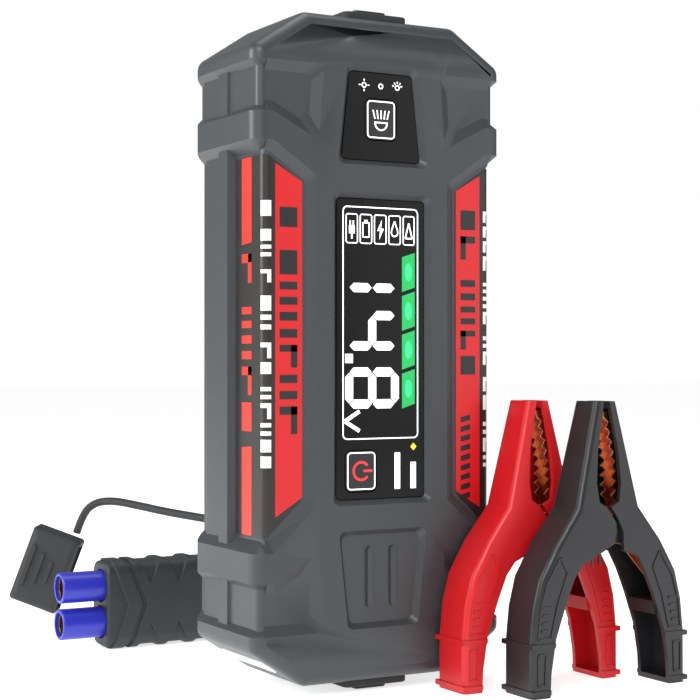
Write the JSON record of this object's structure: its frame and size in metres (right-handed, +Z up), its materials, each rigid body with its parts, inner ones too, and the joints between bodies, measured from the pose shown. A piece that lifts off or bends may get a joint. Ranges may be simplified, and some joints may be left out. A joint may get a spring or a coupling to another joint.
{
  "type": "jump starter pack",
  "caption": "Hand-held car jump starter pack standing on end, with display, work lamp, end port covers, capped lead connector and two sprung battery clamps.",
  "frame": {"origin": "centre of the foot on the bottom port cover, on the surface the pack stands on", "axes": "+Z up, -Y out of the display, +X to the right of someone facing the display"},
  "size_m": [0.1724, 0.2747, 0.234],
  "materials": {
    "body_grey": "satin",
    "gloss_black": "gloss",
    "label_film": "satin",
    "key_grey": "satin",
    "cover_rubber": "matte",
    "lens_clear": "gloss",
    "circuit_board": "satin",
    "lcd_dark": "gloss",
    "cell_pouch": "satin",
    "nickel": "satin",
    "screw_steel": "satin",
    "foam_black": "matte",
    "tray_plastic": "satin",
    "relay_plastic": "satin",
    "capacitor_can": "satin",
    "chip_black": "matte",
    "socket_blue": "satin",
    "brass": "satin",
    "copper_bar": "satin",
    "port_steel": "satin",
    "grip_black": "matte",
    "clamp_red": "satin",
    "clamp_black": "satin",
    "jaw_copper": "satin",
    "pin_steel": "satin",
    "led_white": "gloss",
    "gasket_rubber": "matte"
  },
  "bodies": {
    "pack": {"front_shell": "body_grey", "back_shell": "body_grey", "shell_gasket": "gasket_rubber", "shell_screws": "screw_steel", "display_panel": "gloss_black", "lamp_panel": "gloss_black", "tact_switches": "chip_black", "left_label": "label_film", "right_label": "label_film", "lamp_lens": "lens_clear", "lamp_board": "circuit_board", "lamp_leds": "led_white", "display_board": "circuit_board", "display_module": "lcd_dark", "cell_1": "cell_pouch", "cell_2": "cell_pouch", "cell_3": "cell_pouch", "cell_4": "cell_pouch", "cell_tabs": "nickel", "link_board": "circuit_board", "cell_tray": "tray_plastic", "front_foam": "foam_black", "back_foam": "foam_black", "main_board": "circuit_board", "relay": "relay_plastic", "capacitors": "capacitor_can", "transistors": "chip_black", "jump_socket": "socket_blue", "socket_pins": "brass", "positive_busbar": "copper_bar", "negative_busbar": "copper_bar", "charge_board": "circuit_board", "usb_c_port": "port_steel", "usb_a_port": "port_steel", "dc_port": "chip_black"},
    "power_key": {"power_button": "key_grey"},
    "lamp_key": {"lamp_button": "key_grey"},
    "top_port_cover": {"top_cover": "cover_rubber"},
    "bottom_port_cover": {"bottom_cover": "cover_rubber"},
    "lead_connector": {"connector_grip": "grip_black", "connector_shrouds": "socket_blue", "connector_contacts": "brass", "strap_collar": "cover_rubber", "cap_strap": "cover_rubber", "plug_cap": "cover_rubber"},
    "red_clamp": {"red_clamp_arm": "clamp_red", "red_arm_jaw": "jaw_copper", "red_pivot_pin": "pin_steel", "red_spring": "pin_steel"},
    "red_lever": {"red_clamp_lever": "clamp_red", "red_lever_jaw": "jaw_copper"},
    "black_clamp": {"black_clamp_arm": "clamp_black", "black_arm_jaw": "jaw_copper", "black_pivot_pin": "pin_steel", "black_spring": "pin_steel"},
    "black_lever": {"black_clamp_lever": "clamp_black", "black_lever_jaw": "jaw_copper"}
  },
  "joints": [
    {"name": "power_press", "type": "slide", "parent": "pack", "child": "power_key", "axis": [0, 1, 0], "range_m": [0, 0.0008], "stiffness_N_per_m": 800},
    {"name": "lamp_press", "type": "slide", "parent": "pack", "child": "lamp_key", "axis": [0, 1, 0], "range_m": [0, 0.0008], "stiffness_N_per_m": 800},
    {"name": "top_cover_flap", "type": "hinge", "parent": "pack", "child": "top_port_cover", "pos_m": [0, 0.0202, 0.2302], "axis": [-1, 0, 0], "range_deg": [0, 90]},
    {"name": "bottom_cover_flap", "type": "hinge", "parent": "pack", "child": "bottom_port_cover", "pos_m": [0, 0.0202, 0.0038], "axis": [1, 0, 0], "range_deg": [0, 90]},
    {"name": "connector_lift", "type": "slide", "parent": "pack", "child": "lead_connector", "axis": [0, 0, 1], "range_m": [0, 0.06]},
    {"name": "red_clamp_lift", "type": "slide", "parent": "pack", "child": "red_clamp", "axis": [0, 0, 1], "range_m": [0, 0.06]},
    {"name": "red_clamp_open", "type": "hinge", "parent": "red_clamp", "child": "red_lever", "pos_m": [0.054, -0.034, 0.054], "axis": [0, 1, 0], "range_deg": [0, 30], "stiffness_Nm_per_rad": 0.3, "springref_deg": -20.05},
    {"name": "black_clamp_lift", "type": "slide", "parent": "pack", "child": "black_clamp", "axis": [0, 0, 1], "range_m": [0, 0.06]},
    {"name": "black_clamp_open", "type": "hinge", "parent": "black_clamp", "child": "black_lever", "pos_m": [0.069, -0.0525, 0.054], "axis": [0, 1, 0], "range_deg": [0, 30], "stiffness_Nm_per_rad": 0.3, "springref_deg": -20.05}
  ]
}
